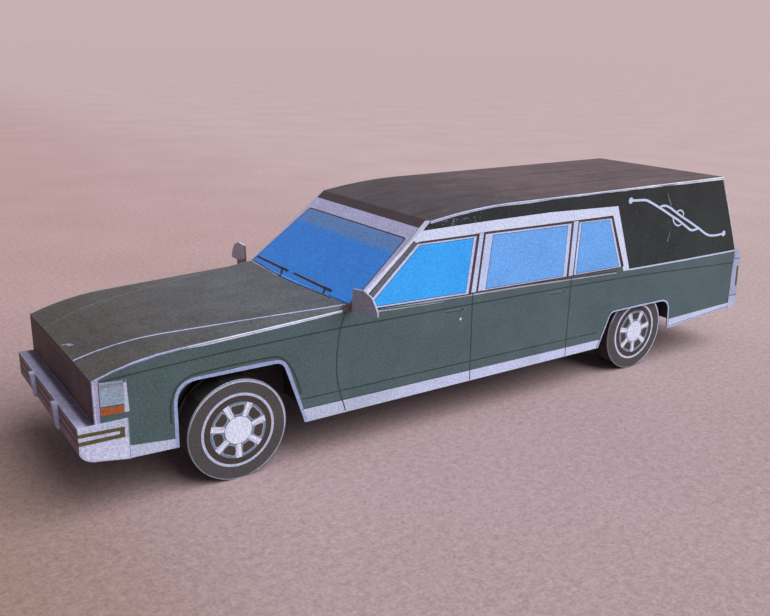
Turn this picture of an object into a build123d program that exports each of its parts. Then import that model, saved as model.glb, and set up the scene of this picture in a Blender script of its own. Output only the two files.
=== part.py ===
from build123d import *
import os
from math import cos, pi, radians, sin

# A hearse model of folded, printed card, about 1:24. Millimetres.
# +X is forward, +Y is the car's left, +Z is up, and z = 0 is the floor.

# Card and skewers
card = 0.4
glue_gap = 0.05
axle_diameter = 3.0
axle_running_gap = 0.05
sleeve_diameter = 5.0
sleeve_end_gap = 0.3

# Body silhouette: lengths run back from the nose, heights are from the floor
body_length = 265.0
body_width = 64.0
nose_height = 38.0
bonnet_length = 74.7
bonnet_curve_length = 22.5
bonnet_curve_height = 42.6
bonnet_rear_height = 45.3
screen_run = 29.0
screen_top_height = 68.5
roof_curve_length = 33.8
roof_curve_height = 71.6
roof_rear_height = 72.8
tail_rake = 15.2
tail_fold_height = 41.5
tail_lean = 0.8
sill_nose_height = 16.4
sill_wing_height = 15.0
sill_front_height = 14.6
sill_middle_height = 12.6
sill_rear_height = 13.5
sill_tail_height = 16.3

# Bonnet creases, which part the middle sheet from the two wing strips
crease_nose_offset = 15.6
crease_rear_inset = 0.8
crease_nose_rise = 0.2
crease_rear_rise = 1.0
bonnet_stations = 5

# Wheels and axles
wheel_radius = 15.0
wheel_width = 9.0
wheel_insets = {"front": 0.7, "rear": 1.6}
tread_facets = 12
front_overhang = 39.2
wheelbase = 168.4

# Wheel arches, measured ahead of and behind each axle
front_arch_ahead = 17.5
front_arch_top_behind = 13.9
front_arch_behind = 20.9
front_arch_height = 32.8
front_arch_front_radius = 6.0
front_arch_rear_radius = 3.5
rear_arch_ahead = 22.1
rear_arch_top_ahead = 16.5
rear_arch_top_behind = 17.1
rear_arch_behind = 18.1
rear_arch_height = 25.7
rear_arch_front_radius = 3.0
rear_arch_rear_radius = 5.0

# Wheel wells
well_headroom = 3.4
well_margin = 0.8
well_clearance = 1.5

# Front bumper and its guards
front_bumper_depth = 4.3
front_bumper_top = 26.4
front_bumper_wing = 8.5
front_bumper_lip_rise = 2.8
front_bumper_lip_radius = 5.0
guard_depth = 1.3
guard_foot_depth = 0.6
guard_height = 7.2
guard_spacing = 25.0
guard_width = 2.6

# Rear bumper and tail-lamp fins
rear_bumper_depth = 5.6
rear_bumper_height = 5.5
rear_bumper_bottom = 15.8
fin_rise = 0.2
fin_width = 7.0
fin_depth = 4.5
fin_top_depth = 2.3
fin_shoulder = 3.6

# Door mirrors
mirror_reach = 11.2
mirror_thickness = 0.6
mirror_height = 7.1
mirror_drop = 0.7
mirror_sweeps = {"left": 9.0, "right": 0.0}
mirror_setbacks = {"left": 1.2, "right": -2.2}
mirror_foot_length = 3.2
mirror_foot_height = 2.2

# Worked out from the sizes above
nose_x = body_length / 2
tail_x = -body_length / 2
half_width = body_width / 2
inner_half = half_width - card
screen_base_x = nose_x - bonnet_length
screen_base_height = bonnet_rear_height + crease_rear_rise
screen_top_x = screen_base_x - screen_run
roof_rear_x = tail_x + tail_rake
front_axle_x = nose_x - front_overhang
rear_axle_x = front_axle_x - wheelbase
front_arch_front_x = front_axle_x + front_arch_ahead
front_arch_rear_x = front_axle_x - front_arch_behind
rear_arch_front_x = rear_axle_x + rear_arch_ahead
rear_arch_rear_x = rear_axle_x - rear_arch_behind
wheel_faces = {end: half_width - inset for end, inset in wheel_insets.items()}
well_inner_face = min(wheel_faces.values()) - wheel_width - well_clearance
well_width = inner_half - well_inner_face + card
well_height = 2 * wheel_radius + well_headroom + card
flat_down = 180 / tread_facets
tread_inner_radius = wheel_radius - card / cos(radians(flat_down))
axle_radius = axle_diameter / 2
floor_height = wheel_radius + sleeve_diameter / 2
bumper_front_x = nose_x + front_bumper_depth
front_bumper_lip = sill_nose_height + front_bumper_lip_rise
wing_rear_x = nose_x - front_bumper_wing
rear_bumper_top = rear_bumper_bottom + rear_bumper_height
rear_end_x = tail_x - rear_bumper_depth
fin_top = tail_fold_height + fin_rise
mirror_bottom = bonnet_rear_height - mirror_drop
above_roof = roof_rear_height + 10
sides = (("left", 1), ("right", -1))

# Wheel wells: x of the front wall, then of the rear wall
well_table = {
    "front": (front_arch_front_x + well_margin, front_arch_rear_x),
    "rear": (rear_arch_front_x + well_margin, rear_arch_rear_x - well_margin),
}

os.makedirs("parts", exist_ok=True)


def save(piece, name):
    piece.part.label = name
    export_step(piece.part, f"parts/{name}.step")


def tail_edge_x(height):
    """x of the body's rear edge below the tail fold, which leans back towards the sill."""
    drop = (tail_fold_height - height) / (tail_fold_height - sill_tail_height)
    return tail_x - tail_lean * drop


def bonnet_lines():
    """The bonnet's straight stretch and the curve that brings it down to the nose."""
    rear = (screen_base_x, bonnet_rear_height)
    bend = (nose_x - bonnet_curve_length, bonnet_curve_height)
    straight = Line(rear, bend)
    curve = TangentArc(bend, (nose_x, nose_height), tangent=straight % 1)
    return straight, curve


def silhouette_lines():
    """The closed outline of the body from the side, for use in a BuildLine block."""
    screen_base = (screen_base_x, screen_base_height)
    screen_top = (screen_top_x, screen_top_height)
    roof_bend = (screen_top_x - roof_curve_length, roof_curve_height)
    bonnet_lines()
    Polyline(
        (nose_x, nose_height),
        (nose_x, sill_nose_height),
        (nose_x - front_bumper_wing, sill_wing_height),
        (front_arch_front_x, sill_front_height),
        (front_arch_rear_x, sill_middle_height),
        (rear_arch_front_x, sill_middle_height),
        (rear_arch_rear_x, sill_rear_height),
        (tail_edge_x(sill_tail_height), sill_tail_height),
        (tail_x, tail_fold_height),
        (roof_rear_x, roof_rear_height),
    )
    roof_line = Line((roof_rear_x, roof_rear_height), roof_bend)
    TangentArc(roof_bend, screen_top, tangent=roof_line % 1)
    Polyline(screen_top, screen_base, (screen_base_x, bonnet_rear_height))


def skin(x_low, x_high, z_low, z_high):
    """A card panel that follows the silhouette between the two side panels."""
    with BuildPart() as piece:
        with BuildSketch(Plane.XZ):
            with BuildLine():
                silhouette_lines()
            make_face()
            offset(amount=-card, kind=Kind.INTERSECTION, mode=Mode.SUBTRACT)
            with Locations(((x_low + x_high) / 2, (z_low + z_high) / 2)):
                Rectangle(x_high - x_low, z_high - z_low, mode=Mode.INTERSECT)
        extrude(amount=inner_half, both=True)
    return piece


# Wheel-arch cutters. Each runs down past the sill, so only its top corners are rounded.
with BuildSketch() as front_arch:
    with BuildLine():
        Polyline(
            (front_arch_front_x, 0),
            (front_arch_front_x, front_arch_height),
            (front_axle_x - front_arch_top_behind, front_arch_height),
            (front_arch_rear_x, sill_middle_height),
            (front_arch_rear_x, 0),
            close=True,
        )
    make_face()
    front_corner = front_arch.vertices().group_by(Axis.Y)[-1].sort_by(Axis.X)[-1]
    fillet(front_corner, front_arch_front_radius)
    rear_corner = front_arch.vertices().group_by(Axis.Y)[-1].sort_by(Axis.X)[0]
    fillet(rear_corner, front_arch_rear_radius)

with BuildSketch() as rear_arch:
    with BuildLine():
        Polyline(
            (rear_arch_front_x, 0),
            (rear_arch_front_x, sill_middle_height),
            (rear_axle_x + rear_arch_top_ahead, rear_arch_height),
            (rear_axle_x - rear_arch_top_behind, rear_arch_height),
            (rear_arch_rear_x, sill_rear_height),
            (rear_arch_rear_x, 0),
            close=True,
        )
    make_face()
    front_corner = rear_arch.vertices().group_by(Axis.Y)[-1].sort_by(Axis.X)[-1]
    fillet(front_corner, rear_arch_front_radius)
    rear_corner = rear_arch.vertices().group_by(Axis.Y)[-1].sort_by(Axis.X)[0]
    fillet(rear_corner, rear_arch_rear_radius)

# Sides
for side_name, side in sides:
    with BuildPart() as side_panel:
        with BuildSketch(Plane.XZ.offset(-side * half_width)):
            with BuildLine():
                silhouette_lines()
            make_face()
            add(front_arch.sketch, mode=Mode.SUBTRACT)
            add(rear_arch.sketch, mode=Mode.SUBTRACT)
        extrude(amount=side * card)
    save(side_panel, f"{side_name}_side")

# Bonnet: one sheet with two creases, as cross-sections from the windscreen to the nose
bonnet_straight, bonnet_curve = bonnet_lines()
station_points = [bonnet_straight @ 0, bonnet_straight @ 0.5]
station_points += [bonnet_curve @ (n / (bonnet_stations - 1)) for n in range(bonnet_stations)]
with BuildPart() as bonnet:
    for point in station_points:
        share = (nose_x - point.X) / bonnet_length
        crease_y = crease_nose_offset + (inner_half - crease_rear_inset - crease_nose_offset) * share
        crease_growth = (crease_rear_rise - crease_nose_rise) * sin(share * pi / 2)
        crease_z = point.Y + crease_nose_rise + crease_growth
        with BuildSketch(Plane.YZ.offset(point.X)):
            with BuildLine():
                Polyline(
                    (-inner_half, point.Y),
                    (-crease_y, crease_z),
                    (crease_y, crease_z),
                    (inner_half, point.Y),
                    (inner_half, point.Y - card),
                    (crease_y, crease_z - card),
                    (-crease_y, crease_z - card),
                    (-inner_half, point.Y - card),
                    close=True,
                )
            make_face()
    loft(ruled=True)
save(bonnet, "bonnet")

# Skins between the sides
front_panel = skin(nose_x - bonnet_curve_length, nose_x, floor_height, nose_height - card)
save(front_panel, "front_panel")
windscreen = skin(screen_top_x, screen_base_x, bonnet_rear_height, above_roof)
save(windscreen, "windscreen")
roof = skin(roof_rear_x, screen_top_x, screen_base_height, above_roof)
save(roof, "roof")
rear_panel = skin(rear_end_x, roof_rear_x, floor_height, above_roof)
save(rear_panel, "rear_panel")

# Floor: three sheets, notched round the wheel wells
front_well_rear_x = well_table["front"][1]
rear_well_front_x = well_table["rear"][0]
floor_table = {
    "front_floor": (front_well_rear_x, nose_x - card),
    "middle_floor": (rear_well_front_x, front_well_rear_x),
    "rear_floor": (tail_edge_x(floor_height + card) + card, rear_well_front_x),
}
for floor_name, (floor_rear_x, floor_front_x) in floor_table.items():
    with BuildPart() as floor:
        with BuildSketch(Plane.XY.offset(floor_height)):
            with Locations(((floor_rear_x + floor_front_x) / 2, 0)):
                Rectangle(floor_front_x - floor_rear_x, 2 * inner_half)
            for well_front, well_rear in well_table.values():
                notch_y = inner_half - well_width / 2
                with Locations(*[((well_front + well_rear) / 2, side * notch_y) for _, side in sides]):
                    Rectangle(well_front - well_rear, well_width, mode=Mode.SUBTRACT)
        extrude(amount=card)
    save(floor, floor_name)

# Wheel wells: card boxes over the wheels, open below and towards the outside
for end, (well_front, well_rear) in well_table.items():
    for side_name, side in sides:
        well_middle = (well_front + well_rear) / 2
        with BuildPart() as well:
            with BuildSketch(Plane.XY.offset(floor_height)):
                with Locations((well_middle, side * (inner_half - well_width / 2))):
                    Rectangle(well_front - well_rear, well_width)
            extrude(amount=well_height - floor_height)
            with BuildSketch(Plane.XY.offset(floor_height)):
                with Locations((well_middle, side * (well_inner_face + well_width / 2))):
                    Rectangle(well_front - well_rear - 2 * card, well_width)
            extrude(amount=well_height - card - floor_height, mode=Mode.SUBTRACT)
        save(well, f"{end}_{side_name}_wheel_well")

# Wheelsets: a skewer, two wheels of card, and the rolled sleeve that the skewer turns in
for end, axle_x in (("front", front_axle_x), ("rear", rear_axle_x)):
    hub = Location((axle_x, wheel_radius))
    wheel_face = wheel_faces[end]
    wheel_inner_face = wheel_face - wheel_width
    with BuildPart() as axle:
        with BuildSketch(Plane.XZ):
            with Locations(hub):
                Circle(axle_radius)
        extrude(amount=wheel_face - card, both=True)
    save(axle, f"{end}_axle")

    with BuildPart() as sleeve:
        with BuildSketch(Plane.XZ):
            with Locations(hub):
                Circle(sleeve_diameter / 2)
                Circle(axle_radius + axle_running_gap, mode=Mode.SUBTRACT)
        extrude(amount=wheel_inner_face - sleeve_end_gap, both=True)
    save(sleeve, f"{end}_axle_sleeve")

    for side_name, side in sides:
        with BuildPart() as tread:
            with BuildSketch(Plane.XZ.offset(-side * (wheel_face - card))):
                with Locations(hub):
                    RegularPolygon(wheel_radius, tread_facets, rotation=flat_down)
                    RegularPolygon(tread_inner_radius, tread_facets, rotation=flat_down, mode=Mode.SUBTRACT)
            extrude(amount=side * (wheel_width - 2 * card))
        save(tread, f"{end}_{side_name}_tread")

        with BuildPart() as wheel_front:
            with BuildSketch(Plane.XZ.offset(-side * wheel_face)):
                with Locations(hub):
                    Circle(wheel_radius)
            extrude(amount=side * card)
        save(wheel_front, f"{end}_{side_name}_wheel_face")

        with BuildPart() as wheel_back:
            with BuildSketch(Plane.XZ.offset(-side * wheel_inner_face)):
                with Locations(hub):
                    Circle(wheel_radius)
                    Circle(axle_radius + glue_gap, mode=Mode.SUBTRACT)
            extrude(amount=-side * card)
        save(wheel_back, f"{end}_{side_name}_wheel_back")

# Front bumper: a folded strip across the nose, with a wing glued on each side
with BuildPart() as front_bumper:
    with BuildSketch(Plane.XZ):
        with BuildLine():
            Polyline(
                (nose_x, sill_nose_height),
                (wing_rear_x, sill_wing_height),
                (wing_rear_x, front_bumper_top),
                (bumper_front_x, front_bumper_top),
                (bumper_front_x, front_bumper_lip),
            )
            lip = (bumper_front_x, front_bumper_lip)
            RadiusArc(lip, (nose_x, sill_nose_height), front_bumper_lip_radius)
        make_face()
    extrude(amount=half_width + card, both=True)
    with BuildSketch(Plane.XZ):
        with BuildLine():
            Polyline(
                (wing_rear_x, 0),
                (wing_rear_x, above_roof),
                (nose_x, above_roof),
                (nose_x, front_bumper_top - card),
                (bumper_front_x - card, front_bumper_top - card),
                (bumper_front_x - card, front_bumper_lip),
                (bumper_front_x, front_bumper_lip),
                (bumper_front_x, 0),
                close=True,
            )
        make_face()
    extrude(amount=half_width, both=True, mode=Mode.SUBTRACT)
save(front_bumper, "front_bumper")

# Bumper guards: narrow uprights that taper towards the foot
for side_name, side in sides:
    with BuildPart() as guard:
        with BuildSketch(Plane.XZ.offset(-side * guard_spacing / 2)):
            with BuildLine():
                Polyline(
                    (bumper_front_x, front_bumper_top),
                    (bumper_front_x + guard_depth, front_bumper_top),
                    (bumper_front_x + guard_foot_depth, front_bumper_top - guard_height),
                    (bumper_front_x, front_bumper_top - guard_height),
                    close=True,
                )
            make_face()
        extrude(amount=guard_width / 2, both=True)
    save(guard, f"front_{side_name}_bumper_guard")

# Rear bumper: a folded box across the tail, open below and towards the rear panel
with BuildPart() as rear_bumper:
    with BuildSketch(Plane.XZ):
        with BuildLine():
            Polyline(
                (tail_edge_x(rear_bumper_bottom), rear_bumper_bottom),
                (rear_end_x, rear_bumper_bottom),
                (rear_end_x, rear_bumper_top),
                (tail_edge_x(rear_bumper_top), rear_bumper_top),
                close=True,
            )
        make_face()
    extrude(amount=half_width, both=True)
    with BuildSketch(Plane.XZ):
        with BuildLine():
            Polyline(
                (tail_x, 0),
                (rear_end_x + card, 0),
                (rear_end_x + card, rear_bumper_top - card),
                (tail_x, rear_bumper_top - card),
                close=True,
            )
        make_face()
    extrude(amount=inner_half, both=True, mode=Mode.SUBTRACT)
save(rear_bumper, "rear_bumper")

# Tail-lamp fins: tall closed boxes on the rear panel's edges
for side_name, side in sides:
    with BuildPart() as fin:
        with BuildSketch(Plane.XZ.offset(-side * half_width)):
            with BuildLine():
                Polyline(
                    (tail_edge_x(rear_bumper_top), rear_bumper_top),
                    (rear_end_x, rear_bumper_top),
                    (tail_x - fin_depth, fin_top - fin_shoulder),
                    (tail_x - fin_top_depth, fin_top),
                    (tail_x, fin_top),
                    (tail_x, tail_fold_height),
                    close=True,
                )
            make_face()
        extrude(amount=side * fin_width)
    save(fin, f"{side_name}_tail_lamp_fin")

# Door mirrors: card plates on glued feet. The left one is bent back, and the right one stands ahead of it.
for side_name, side in sides:
    mirror_x = screen_base_x - mirror_setbacks[side_name]
    sweep = radians(mirror_sweeps[side_name])
    plate_length = (mirror_reach - abs(sin(sweep)) * mirror_thickness / 2) / cos(sweep)
    outwards = Vector(-sin(sweep), side * cos(sweep), 0)
    upright = outwards.cross(Vector(0, 0, 1))
    plate_plane = Plane(origin=(mirror_x, side * half_width, mirror_bottom), x_dir=outwards, z_dir=upright)
    with BuildPart() as mirror:
        with BuildSketch(plate_plane):
            with BuildLine():
                Polyline(
                    (mirror_thickness / 2, 0),
                    (plate_length, mirror_height * 0.08),
                    (plate_length, mirror_height * 0.24),
                    (plate_length * 0.91, mirror_height * 0.52),
                    (plate_length * 0.78, mirror_height * 0.8),
                    (plate_length * 0.48, mirror_height),
                    (plate_length * 0.06, mirror_height * 0.95),
                    (mirror_thickness / 2, mirror_height * 0.4),
                    close=True,
                )
            make_face()
        extrude(amount=mirror_thickness / 2, both=True)
        with BuildSketch(Plane.XZ.offset(-side * half_width)):
            with Locations((mirror_x + mirror_foot_length / 2, mirror_bottom + mirror_foot_height / 2)):
                Rectangle(mirror_foot_length, mirror_foot_height)
        extrude(amount=-side * card)
    save(mirror, f"{side_name}_mirror")
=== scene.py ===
import math

import bmesh
import bpy
from mathutils import Matrix, Vector, noise
from mathutils.bvhtree import BVHTree


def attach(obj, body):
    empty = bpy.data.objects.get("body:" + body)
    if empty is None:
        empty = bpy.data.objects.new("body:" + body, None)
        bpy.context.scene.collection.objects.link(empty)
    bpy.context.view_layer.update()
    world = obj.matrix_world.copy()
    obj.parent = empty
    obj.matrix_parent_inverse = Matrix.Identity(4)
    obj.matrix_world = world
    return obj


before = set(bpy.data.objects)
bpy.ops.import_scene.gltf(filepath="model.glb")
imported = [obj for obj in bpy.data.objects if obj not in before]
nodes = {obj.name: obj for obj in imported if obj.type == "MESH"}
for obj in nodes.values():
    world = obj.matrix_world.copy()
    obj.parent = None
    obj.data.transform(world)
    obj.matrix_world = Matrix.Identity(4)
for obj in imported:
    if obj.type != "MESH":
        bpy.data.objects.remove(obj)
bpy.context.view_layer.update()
MM = 0.001

# Sizes in millimetres, the same as the card parts have
HALF_WIDTH = 32.0
INNER_HALF = 31.6
NOSE_X = 132.5
TAIL_X = -132.5
FLOOR_UNDERSIDE = 17.5
WHEEL_RADIUS = 15.0
WHEEL_FACE = {"front": 31.3, "rear": 30.4}
AXLE_X = {"front": 93.3, "rear": -75.1}
SCREEN_BASE = (57.8, 46.3)
SCREEN_TOP = (28.8, 68.5)
ROOF_BEND = (-5.0, 71.6)
ROOF_REAR = (-117.3, 72.8)
TAIL_FOLD = (TAIL_X, 41.5)
TAIL_FOOT = (-133.3, 16.3)
BUMPER_FRONT = 136.8
BUMPER_TOP = 26.4
REAR_BUMPER_FACE = -138.1
SIDES = (("left", 1), ("right", -1))

# Each layer of print stands this far above the one below, and is sunk this far into its card
INK_STEP = 0.014
INK_ROOT = 0.05

# Noise seldom leaves the middle of its range, so an ink's noise is stretched by this much
CONTRAST = 2.6


# ---------------------------------------- trees of nodes

class Wire:
    """One socket in a tree of nodes, with the arithmetic that its Math nodes do."""

    def __init__(self, maker, socket):
        self.maker, self.socket = maker, socket

    def __add__(self, other):
        return self.maker.math("ADD", self, other)

    def __sub__(self, other):
        return self.maker.math("SUBTRACT", self, other)

    def __rsub__(self, other):
        return self.maker.math("SUBTRACT", other, self)

    def __mul__(self, other):
        return self.maker.math("MULTIPLY", self, other)

    def __gt__(self, other):
        return self.maker.math("GREATER_THAN", self, other)

    def __lt__(self, other):
        return self.maker.math("LESS_THAN", self, other)

    def __abs__(self):
        return self.maker.math("ABSOLUTE", self, 0.0)

    __radd__ = __add__
    __rmul__ = __mul__


class Nodes:
    """A tree of nodes that is written as expressions on wires."""

    def __init__(self, tree):
        self.tree = tree
        self.tree.nodes.clear()

    def node(self, kind, settings=None, values=None, output=0):
        """A new node's output, if it has one. Settings are set first, then each socket's value or link."""
        made = self.tree.nodes.new(kind)
        for name, value in (settings or {}).items():
            setattr(made, name, value)
        for name, value in (values or {}).items():
            if isinstance(value, Wire):
                self.tree.links.new(value.socket, made.inputs[name])
            else:
                made.inputs[name].default_value = value
        return Wire(self, made.outputs[output]) if made.outputs else None

    def math(self, operation, first, second):
        return self.node("ShaderNodeMath", {"operation": operation}, {0: first, 1: second})


class Recipe(Nodes):
    """A material whose patterns lie in the model's own coordinates."""

    def __init__(self, name):
        self.material = bpy.data.materials.new(name)
        self.material.use_nodes = True
        super().__init__(self.material.node_tree)
        self.place = self.node("ShaderNodeTexCoord", output="Object")

    def noise(self, scale, detail=3.0, stretch=(1, 1, 1), roughness=0.55):
        """Noise from 0 to 1 whose features are about 1/scale metres across, longer where stretch is small."""
        place = self.node("ShaderNodeMapping", None, {"Vector": self.place, "Scale": stretch})
        values = {"Vector": place, "Scale": scale, "Detail": detail, "Roughness": roughness}
        return self.node("ShaderNodeTexNoise", None, values)

    def between(self, value, low, high):
        """0 below low, 1 above high and smooth between."""
        settings = {"interpolation_type": "SMOOTHSTEP"}
        return self.node("ShaderNodeMapRange", settings, {"Value": value, "From Min": low, "From Max": high})

    def mix(self, factor, first, second, blend="MIX"):
        settings = {"data_type": "RGBA", "blend_type": blend}
        return self.node("ShaderNodeMix", settings, {0: factor, 6: first, 7: second}, output=2)

    def along(self, axis):
        """The coordinate of this point on the axis "X", "Y" or "Z", in metres."""
        return self.node("ShaderNodeSeparateXYZ", None, {0: self.place}, output=axis)

    def faces(self, direction):
        """1 where the surface faces along the direction or against it, and 0 on the card's cut edges."""
        normal = self.node("ShaderNodeNewGeometry", output="Normal")
        values = {0: normal, 1: direction}
        cosine = self.node("ShaderNodeVectorMath", {"operation": "DOT_PRODUCT"}, values, output="Value")
        return abs(cosine) > 0.5

    def surface(self, colour, roughness, height, relief, specular=0.3):
        """Ends the recipe with a Principled shader. height is 0 to 1 and relief is its size in metres."""
        bump = self.node("ShaderNodeBump", None, {"Strength": 1.0, "Distance": relief, "Height": height})
        look = {"Base Color": colour, "Roughness": roughness, "Specular IOR Level": specular, "Normal": bump}
        shader = self.node("ShaderNodeBsdfPrincipled", None, look)
        self.node("ShaderNodeOutputMaterial", None, {"Surface": shader})
        return self.material


# ---------------------------------------- inks

def srgb(red, green, blue):
    """A printed colour, 0 to 255, as the linear colour that a socket takes."""
    def linear(c):
        c /= 255
        return c / 12.92 if c <= 0.04045 else ((c + 0.055) / 1.055) ** 2.4
    return (linear(red), linear(green), linear(blue), 1.0)


def tone(colour, factor):
    """A darker or a paler shade of a linear colour."""
    return tuple(min(c * factor, 1.0) for c in colour[:3]) + (1.0,)


# Each ink: its colour, how uneven it is over millimetres, how grainy it is, and how much of the paper's
# fibres show. One that turns into a second ink has that colour too, with the axis and the two places, in
# metres, between which it turns.
INKS = {
    # Sheets of the body
    "side": ((67, 86, 89), 0.10, 0.22, 0.12, ((71, 90, 95), "X", 0.11, 0.05)),
    "bonnet": ((70, 70, 69), 0.16, 0.40, 0.12, ((80, 86, 91), "X", 0.125, 0.07)),
    "roof": ((63, 60, 65), 0.24, 0.45, 0.12, ((84, 74, 79), "X", 0.01, -0.04)),
    "tail": ((71, 90, 95), 0.10, 0.22, 0.12),
    "front": ((60, 47, 48), 0.14, 0.22, 0.12),
    "quarter": ((28, 34, 37), 0.30, 0.65, 0.12, ((32, 41, 43), "Z", 0.066, 0.05)),
    "header": ((69, 60, 67), 0.14, 0.22, 0.12),
    "frame": ((178, 178, 216), 0.10, 0.22, 0.10),
    "underside": ((58, 55, 56), 0.15, 0.22, 0.50),
    "black": ((64, 57, 62), 0.15, 0.22, 0.20),
    "bumper": ((168, 173, 207), 0.06, 0.22, 0.15),
    "fin": ((152, 160, 194), 0.08, 0.22, 0.10),
    "mirror": ((158, 158, 180), 0.10, 0.22, 0.12, ((198, 190, 210), "Y", 0, -0.01)),
    "mirror_foot": ((82, 68, 70), 0.20, 0.22, 0.12),
    # Windows
    "band": ((198, 208, 244), 0.05, 0.22, 0.10),
    "pillar": ((182, 194, 232), 0.06, 0.22, 0.10),
    "pillar_band": ((90, 94, 104), 0.12, 0.22, 0.10),
    "brown_line": ((70, 52, 54), 0.12, 0.22, 0.20),
    "glass_edge": ((66, 96, 136), 0.08, 0.22, 0.10),
    "front_glass": ((49, 159, 254), 0.05, 0.20, 0.05),
    "rear_glass": ((100, 161, 236), 0.06, 0.22, 0.10),
    "screen_glass": ((59, 136, 229), 0.06, 0.20, 0.05, ((98, 138, 196), "Z", 0.0585, 0.0604)),
    "tint": ((98, 138, 196), 0.05, 0.20, 0.10),
    # A painted highlight along the left windscreen pillar, over the side sheet's pale strip
    "screen_strip": ((212, 220, 255), 0.02, 0.05, 0.00),
    "wiper": ((34, 38, 56), 0.10, 0.22, 0.05),
    # Trim, lines and worn edges
    "trim": ((170, 178, 203), 0.06, 0.22, 0.10, ((184, 192, 224), "X", 0.06, 0)),
    "bright": ((206, 210, 234), 0.05, 0.22, 0.10),
    "chrome": ((126, 126, 146), 0.10, 0.22, 0.12),
    "belt": ((150, 160, 176), 0.15, 0.22, 0.10),
    "bar": ((186, 200, 232), 0.04, 0.08, 0.00),
    "lip": ((140, 154, 194), 0.12, 0.22, 0.10, ((164, 176, 212), "X", 0.06, 0)),
    "wing": ((186, 190, 218), 0.06, 0.22, 0.15),
    "nose": ((156, 148, 182), 0.10, 0.22, 0.10),
    "handle": ((90, 108, 118), 0.15, 0.22, 0.10),
    "scratch": ((118, 130, 138), 0.15, 0.22, 0.10),
    "line": ((40, 38, 40), 0.10, 0.22, 0.20),
    "shadow_line": ((46, 56, 56), 0.15, 0.22, 0.30),
    "olive": ((84, 74, 50), 0.12, 0.22, 0.20),
    "edge": ((172, 178, 208), 0.25, 0.18, 0.20, ((204, 208, 240), "X", -0.02, -0.07)),
    "bonnet_edge": ((198, 204, 236), 0.20, 0.18, 0.20, ((158, 160, 196), "X", 0.094, 0.112)),
    # The near bonnet crease is a pale bead, part worn card and part painted highlight; the far one is darker,
    # painted shade
    "crease": ((160, 168, 208), 0.15, 0.22, 0.30),
    "far_crease": ((108, 108, 116), 0.20, 0.22, 0.20),
    # Lamps and grille, then darkened copies of inks, which paint shade onto the front panel and the front
    # bumper
    "lens": ((133, 149, 171), 0.06, 0.22, 0.12),
    "amber": ((150, 78, 38), 0.08, 0.22, 0.10),
    "red": ((150, 34, 36), 0.10, 0.22, 0.10),
    "grille": ((44, 34, 36), 0.12, 0.22, 0.12),
    # Darker copies of lens, amber and chrome: painted shade on the front panel
    "dim_lens": ((74, 66, 76), 0.12, 0.22, 0.12),
    "dim_amber": ((96, 56, 40), 0.12, 0.22, 0.12),
    "dim_chrome": ((84, 72, 78), 0.12, 0.22, 0.12),
    # Darker copies of olive, the bar and the bumper's print: painted shade on the front bumper's face
    "dim_olive": ((88, 74, 74), 0.20, 0.22, 0.10),
    "dim_bar": ((128, 116, 134), 0.20, 0.22, 0.10),
    "bumper_face": ((122, 106, 120), 0.30, 0.22, 0.15),
    # Darker towards the nose: painted shade in the gap under the front panel
    "bumper_top": ((160, 158, 190), 0.12, 0.22, 0.12, ((74, 70, 92), "X", 0.1352, 0.1338)),
    # Wheels
    "tyre": ((70, 66, 67), 0.10, 0.22, 0.12),
    "tread": ((58, 54, 54), 0.14, 0.22, 0.50),
    "rim_dark": ((60, 52, 48), 0.12, 0.22, 0.15),
    "rim": ((104, 118, 142), 0.12, 0.22, 0.10),
    "hub": ((204, 212, 236), 0.05, 0.22, 0.10),
}
PAPER = srgb(198, 204, 228)

# Inks that are brushed along X, and how strongly
STREAKS = {"bonnet": 0.2, "roof": 0.8}

# Inks that cover only the faces that look along a direction, since the other faces are cut edges
CUT_CARD = {"tyre": (0, 1, 0)}


def printed(name, colour, uneven, grain, fleck, fade=None):
    """Ink on card, from a row of INKS."""
    recipe = Recipe(f"{name}_ink")
    ink = srgb(*colour)
    cloud = recipe.noise(110, 4.0)
    speck = recipe.noise(1500, 2.0)
    fibre = recipe.noise(1300, 2.0, (1, 1, 0.35))
    swing = uneven + grain
    dark, pale = tone(ink, 1 - swing), tone(ink, 1 + swing)
    if fade:
        second, axis, low, high = fade
        turned = recipe.between(recipe.along(axis) + (cloud - 0.5) * ((high - low) * 0.4), low, high)
        dark = recipe.mix(turned, dark, tone(srgb(*second), 1 - swing))
        pale = recipe.mix(turned, pale, tone(srgb(*second), 1 + swing))
    stretch = CONTRAST / swing
    light = 0.5 + (cloud - 0.5) * (stretch * uneven) + (speck - 0.5) * (stretch * grain)
    shade = recipe.mix(light, dark, pale)
    if name in STREAKS:
        brushed = recipe.noise(330, 4.0, (0.05, 1, 1))
        shade = recipe.mix(recipe.between(brushed, 0.45, 0.75) * STREAKS[name], shade, tone(ink, 0.5))
    shade = recipe.mix(recipe.between(fibre, 0.68, 0.82) * fleck, shade, PAPER)
    if name in CUT_CARD:
        shade = recipe.mix(recipe.faces(CUT_CARD[name]), PAPER, shade)
    roughness = 0.62 + (cloud - 0.5) * 0.18
    buckle = recipe.noise(28, 2.0)
    height = speck * 0.35 + fibre * 0.25 + buckle * 6.0
    return recipe.surface(shade, roughness, height, 0.00003)


def skewer_wood():
    recipe = Recipe("bamboo_skewer")
    grain = recipe.noise(900, 4.0, (1, 0.04, 1))
    colour = recipe.mix(grain, srgb(150, 116, 72), srgb(214, 184, 132))
    return recipe.surface(colour, 0.55 + grain * 0.2, grain, 0.00004)


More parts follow.
